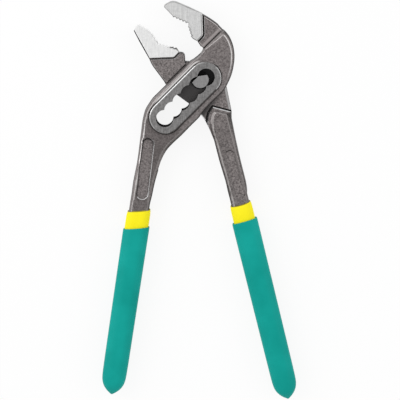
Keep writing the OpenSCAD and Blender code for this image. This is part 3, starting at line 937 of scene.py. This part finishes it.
def makePinLever():
    plan = pinLeverPlan
    zone = zoneNumbers(pinLeverMats)
    bm = steelCopy("pin_lever")
    jaw = plan["jawFaces"]
    teethEnd, teethFacing = plan["teeth"]
    heelFrom, heelFacing = plan["heel"]
    reachX, reachY = plan["cornerReach"]
    onJaw = lambda c: c.y > plan["jawFrom"]
    onTeeth = lambda c, n: onJaw(c) and n.y > teethFacing and c.x < teethEnd
    onStep = lambda c, w: onJaw(c) and w.y < plan["stepFacing"]
    onHeel = lambda c, w: c.x > heelFrom and w.y > heelFacing
    onCorner = lambda c: abs(c.x - plan["corner"].x) < reachX and abs(c.y - plan["corner"].y) < reachY
    inGullet = lambda c, w: onJaw(c) and (onHeel(c, w) or onCorner(c))
    faceZone(bm, zone["jawFace"], lambda c, n: isLevel(n) and onJaw(c) and onHeight(c.z, jaw))
    faceZone(bm, zone["dark"], lambda c, n: isWall(n) and math.hypot(c.x, c.y) < plan["boreReach"])
    # painted highlight on the teeth walls, and painted shade in the web's grooves
    wallZone(bm, zone["white"], jaw, onTeeth)
    faceZone(bm, zone["dark"], lambda c, n: isLevel(n) and c.y < 0 and onHeight(c.z, plan["webGrooves"]))
    faceZone(bm, zone["lip"], onLip)
    chamferBack(bm, zone)
    # painted highlight on the jaw's step and edges, painted shade on its gullet
    breakEdges(bm, plan["stepEdge"], chamfer, zone["white"], onStep, jaw)
    breakEdges(bm, plan["gulletEdge"], chamfer, zone["dark"], inGullet, jaw)
    breakEdges(bm, plan["jawEdge"], chamfer, zone["white"], lambda c, w: onJaw(c), jaw)
    breakEdges(bm, plan["grooveEdge"], rounding, zone["grey"], lambda c, w: onJaw(c), plan["neckFaces"])
    webEdge = breakEdges(bm, plan["webEdge"], rounding, zone["forged"], onWebEdge, plan["webFaces"])
    # the web edge's upper facet takes the grey copy as a painted highlight
    for face in webEdge:
        above = face.calc_center_median().y / mm > plan["webEdgeEnd"]
        if above and abs(face.normal.z) > plan["webEdgeLevel"]:
            face.material_index = zone["grey"]
    # painted highlight on the lip's edge, and painted shade on the panel rim's faces turned away from the
    # light
    breakEdges(bm, plan["lipEdge"], chamfer, zone["bright"], onLipEdge, plan["webFaces"])
    panelRim = breakEdges(bm, plan["panelEdge"], chamfer, zone["lip"], lambda c, w: onPanelEdge(c, plan))
    for face in panelRim:
        if face.normal.y < plan["panelShaded"]:
            face.material_index = zone["dark"]
    mats = pinLeverMats.values()
    finishSteel(bm, "pin_lever_forging", mats, "pin_lever_body", "pin_lever")


pinMats = {"end": pinGroundMat, "shank": slotWallMat}
pinPlan = {"ends": (0.0, 15.0), "endEdge": 0.3 * mm}


def makePin():
    zone = zoneNumbers(pinMats)
    bm = steelCopy("pivot_pin")
    # the shank, its flats and ledges take the near-black steel as painted shade, deep in the bore
    faceZone(bm, zone["shank"], lambda c, n: not onHeight(c.z, pinPlan["ends"]))
    for height in pinPlan["ends"]:
        breakEdges(bm, pinPlan["endEdge"], rounding, zone["end"], lambda c, w: True, (height,))
    finishSteel(bm, "pivot_pin_turned", pinMats.values(), "pin_body", "pivot_pin")


makeSlotLever()
makePinLever()
makePin()
print("steel pieces made")


# dipped sleeves: one rounded loop, extruded from the foot of the hollow over the rim and down to the tip
slotHandle = {
    "top": Vector((-39.89, -93.049, midHeight)), "lean": -8.6, "slope": 0.225,
    "length": 107.5, "tangWidth": 12.4, "sag": 0.2,
}
pinHandle = {
    "top": Vector((27.6, -88.6, midHeight)), "lean": 13.8, "slope": 0.04,
    "length": 117, "tangWidth": 11.4, "sag": 0.8,
}
sleeveShape = {
    "tangEndWidth": 8.6, "tangThick": 9.2, "tangShort": 10, "straight": 5,
    "yellowWall": 1.1, "gap": 0.08, "bandLength": 11.4,
    "lineEnd": 0.46,            # the painted shade line at the yellow rim ends before this
    "sagReach": 1,
    "gripWidth": 16.2, "gripEndWidth": 15.2, "gripThick": 14.4,
    "rimThin": 0.4,             # the green rim is this much thinner than the grip
    "settle": 8,                # run over which the rim's slope dies out
    "settleSlope": 0.3,         # share of it left on the grip there
    "endShort": 2,              # the walls run straight to this far from the end of the tang
    "tipLength": 13,
    "corner": 0.4,              # rounding as a share of the section
    "cornerSteps": 6,
    "softLevels": 2,
    "smoothAngle": 180,         # no sharp edges
    "hollowFrom": 6,
    "hollowRim": (0.6, 0.1),    # runs inside the yellow rim, from the dip line
    # run from the dip line, and share of the yellow wall
    "yellowRim": ((0, 0.25), (0.15, 0.4), (0.45, 0.6), (2.2, 0.97), (5, 1.0)),
    # run past the end of the tang, and share of the section
    "yellowEnd": ((2, 0.8), (3, 0.4)),
    # run inside the green rim, and its flare
    "greenHollowRim": ((0.8, 0), (0.1, 0.1)),
    # run from the top of the grip, and inset from its section
    "greenRim": ((-0.05, 0.55), (0.1, 0.2), (0.5, 0.04), (1.6, 0.0)),
    # run past the end of the tang, and share of the section
    "greenHollowEnd": ((3.6, 0.5), (3.2, 1.0)),
    "gripSteps": (0.2, 0.4, 0.6, 0.8, 1.0),
    "tipSteps": (0.3, 0.54, 0.72, 0.85, 0.94, 0.99),
    "tipPowers": (2.7, 3.2),    # how late the tip narrows and thins
}


def tangEnd(handle):
    return handle["length"] - sleeveShape["tangShort"]


def tangWidth(handle, run):
    s = sleeveShape
    share = max(0.0, run - s["straight"]) / (tangEnd(handle) - s["straight"])
    return handle["tangWidth"] + (s["tangEndWidth"] - handle["tangWidth"]) * share


def gripWidth(handle, run):
    s = sleeveShape
    return s["gripWidth"] + (s["gripEndWidth"] - s["gripWidth"]) * run / handle["length"]


def handleAxes(handle):
    lean = math.radians(handle["lean"])
    down = Vector((math.sin(lean), -math.cos(lean), 0))
    side = Vector((math.cos(lean), math.sin(lean), 0))
    return down, side


# a station is the run down the handle, the width and thickness there, and the slope of the section
def stationMatrix(handle, run, width, thick, slope):
    down, side = handleAxes(handle)
    centre = handle["top"] + down * run
    lateral = (side - down * slope) * width
    upward = Vector((0, 0, thick))
    columns = [lateral, upward, down, centre]
    return Matrix([[c[i] * mm for c in columns] for i in range(3)] + [[0, 0, 0, 1]])


# the dip line sags between the corners of its handle
def sagRim(handle, verts, width):
    down, side = handleAxes(handle)
    for v in verts:
        share = (v.co / mm - handle["top"]).dot(side) / (width / 2)
        v.co += down * handle["sag"] * max(0.0, 1 - share * share) * mm


def dippedSleeve(name, handle, stations, mats, body, node):
    s = sleeveShape
    bm = bmesh.new()
    bmesh.ops.create_grid(bm, x_segments=1, y_segments=1, size=0.5)
    bmesh.ops.bevel(bm, geom=bm.verts[:], offset=s["corner"], offset_type="OFFSET",
                    segments=s["cornerSteps"], profile=0.5, affect="VERTICES", material=-1)
    place = stationMatrix(handle, *stations[0])
    bmesh.ops.transform(bm, matrix=place, verts=bm.verts[:])
    rim = [e for e in bm.edges if e.is_boundary]
    rings = []
    for station in stations[1:]:
        step = stationMatrix(handle, *station)
        grown = bmesh.ops.extrude_edge_only(bm, edges=rim)["geom"]
        verts = [g for g in grown if isinstance(g, bmesh.types.BMVert)]
        faces = [g for g in grown if isinstance(g, bmesh.types.BMFace)]
        rim = [g for g in grown if isinstance(g, bmesh.types.BMEdge) and g.is_boundary]
        bmesh.ops.transform(bm, matrix=step @ place.inverted(), verts=verts)
        place = step
        rings.append((station[0] + s["bandLength"], station[1], verts, faces))
    bmesh.ops.contextual_create(bm, geom=rim)
    # only a sleeve with a second material has a dip line, with a line of painted shade along it
    if len(mats) > 1:
        for past, width, verts, faces in rings:
            if abs(past) < s["sagReach"]:
                sagRim(handle, verts, width)
                for face in faces:
                    face.material_index = 1 if past < s["lineEnd"] else 0
    bmesh.ops.recalc_face_normals(bm, faces=bm.faces[:])
    piece = finishPiece(bm, name, mats, body, node, s["smoothAngle"])
    mod = piece.modifiers.new("soft", "SUBSURF")
    mod.levels = s["softLevels"]
    mod.render_levels = s["softLevels"]


def yellowStations(handle):
    s = sleeveShape
    end = tangEnd(handle)
    slope = handle["slope"]
    band = s["bandLength"]
    gap = 2 * s["gap"]
    wall = gap + 2 * s["yellowWall"]
    thick = s["tangThick"] + wall
    hollow = [(end, 0), (end / 2, 0), (s["hollowFrom"], 0)]
    hollow += [(past - band, slope) for past in s["hollowRim"]]
    rows = []
    for run, rowSlope in hollow:
        rows.append((run, tangWidth(handle, run) + gap, s["tangThick"] + gap, rowSlope))
    for past, share in s["yellowRim"]:
        grow = gap + 2 * s["yellowWall"] * share
        rows.append((past - band, handle["tangWidth"] + grow, s["tangThick"] + grow, slope))
    rows.append((0, handle["tangWidth"] + wall, thick, slope))
    for run in (s["settle"], end / 2, end - s["endShort"]):
        rows.append((run, tangWidth(handle, run) + wall, thick, 0))
    for past, share in s["yellowEnd"]:
        rows.append((end + past, share * (s["tangEndWidth"] + wall), share * thick, 0))
    return rows


def greenStations(handle):
    s = sleeveShape
    end = tangEnd(handle)
    slope = handle["slope"]
    settle = s["settle"]
    wall = 4 * s["gap"] + 2 * s["yellowWall"]
    thick = s["tangThick"] + wall
    rows = []
    for past, share in s["greenHollowEnd"]:
        rows.append((end + past, share * (s["tangEndWidth"] + wall), share * thick, 0))
    for run in (end - s["endShort"], end / 2, settle):
        rows.append((run, tangWidth(handle, run) + wall, thick, 0))
    for run, flare in s["greenHollowRim"]:
        rows.append((run, handle["tangWidth"] + wall + flare, thick + flare, slope))
    rimThick = s["gripThick"] - s["rimThin"]
    for run, inset in s["greenRim"]:
        rows.append((run, gripWidth(handle, 0) - 2 * inset, rimThick - 2 * inset, slope))
    rows.append((settle, gripWidth(handle, settle), s["gripThick"], slope * s["settleSlope"]))
    tip = handle["length"] - s["tipLength"]
    for share in s["gripSteps"]:
        run = settle + (tip - settle) * share
        rows.append((run, gripWidth(handle, run), s["gripThick"], 0))
    narrow, thin = s["tipPowers"]
    for part in s["tipSteps"]:
        width = s["gripEndWidth"] * (1 - part ** narrow)
        rows.append((tip + s["tipLength"] * part, width, s["gripThick"] * (1 - part ** thin), 0))
    return rows


def makeSleeves(lever, handle):
    body = lever + "_lever_body"
    dippedSleeve(lever + "_yellow_dip", handle, yellowStations(handle), [yellowMat, dipRimShadeMat],
                 body, lever + "_yellow_sleeve")
    dippedSleeve(lever + "_green_dip", handle, greenStations(handle), [greenMat],
                 body, lever + "_green_grip")


makeSleeves("slot", slotHandle)
makeSleeves("pin", pinHandle)
print("sleeves made")


# floor, light and camera, in metres
stagePlan = {
    "floorSize": 4.0,
    "floorLevel": -0.0001,
    "floorColour": (0.9, 0.9, 0.9, 1),
    "floorRough": 0.9,
    "floorShine": 0.1,
    "glow": 0.88,          # share of the floor that is plain white for the lens
    "world": 0.78,
    "lamps": [
        # name, place, width, height, watts
        ("windowLeft", (-0.71, 0.33, 0.57), 1.3, 0.7, 4.6),
        ("panelRight", (0.8, 0.0, 0.5), 0.9, 0.4, 1.5),
    ],
    "aim": Vector((-0.0002, -0.0758, 0.0075)),
    "tilt": 7.5,           # from straight above, in degrees
    "distance": 1.6,
    "pixel": 0.6238 * mm,
    "picture": 400,        # width and height in pixels
    "sensor": 36,
    "clip": 20,
}


def makeFloor():
    bm = bmesh.new()
    bmesh.ops.create_grid(bm, x_segments=1, y_segments=1, size=stagePlan["floorSize"] / 2)
    mesh = bpy.data.meshes.new("floor")
    bm.to_mesh(mesh)
    bm.free()
    floor = bpy.data.objects.new("floor", mesh)
    floor.location.z = stagePlan["floorLevel"]
    bpy.context.scene.collection.objects.link(floor)
    mat, tree, shader = newMaterial("paperFloor")
    shader.inputs["Base Color"].default_value = stagePlan["floorColour"]
    shader.inputs["Roughness"].default_value = stagePlan["floorRough"]
    shader.inputs["Specular IOR Level"].default_value = stagePlan["floorShine"]
    path = tree.nodes.new("ShaderNodeLightPath")
    seen = combine(tree, "MAXIMUM", path.outputs["Is Camera Ray"], path.outputs["Is Glossy Ray"])
    seen = combine(tree, "MAXIMUM", seen, path.outputs["Is Transmission Ray"])
    white = addNode(tree, "ShaderNodeEmission", Strength=1.0)
    mix = tree.nodes.new("ShaderNodeMixShader")
    link(tree, product(tree, seen, stagePlan["glow"]), mix.inputs[0])
    link(tree, shader.outputs[0], mix.inputs[1])
    link(tree, white.outputs[0], mix.inputs[2])
    link(tree, mix.outputs[0], tree.nodes["Material Output"].inputs["Surface"])
    mesh.materials.append(mat)


def makeLights():
    world = bpy.data.worlds.new("studio")
    world.use_nodes = True
    back = world.node_tree.nodes["Background"]
    back.inputs["Color"].default_value = (1, 1, 1, 1)
    back.inputs["Strength"].default_value = stagePlan["world"]
    bpy.context.scene.world = world
    for name, place, width, height, watts in stagePlan["lamps"]:
        data = bpy.data.lights.new(name, "AREA")
        data.shape = "RECTANGLE"
        data.size = width
        data.size_y = height
        data.energy = watts
        lamp = bpy.data.objects.new(name, data)
        lamp.location = place
        lamp.rotation_euler = (stagePlan["aim"] - Vector(place)).to_track_quat("-Z", "Y").to_euler()
        bpy.context.scene.collection.objects.link(lamp)


def makeCamera():
    tilt = math.radians(stagePlan["tilt"])
    data = bpy.data.cameras.new("camera")
    data.sensor_width = stagePlan["sensor"]
    data.lens = data.sensor_width * stagePlan["distance"] / (stagePlan["pixel"] * stagePlan["picture"])
    data.clip_end = stagePlan["clip"]
    camera = bpy.data.objects.new("camera", data)
    camera.location = stagePlan["aim"] + Vector((0, math.sin(tilt), math.cos(tilt))) * stagePlan["distance"]
    camera.rotation_euler = (-tilt, 0, 0)
    bpy.context.scene.collection.objects.link(camera)
    bpy.context.scene.camera = camera


makeFloor()
makeLights()
makeCamera()
bpy.context.scene.view_settings.view_transform = "Standard"
print("stage made")
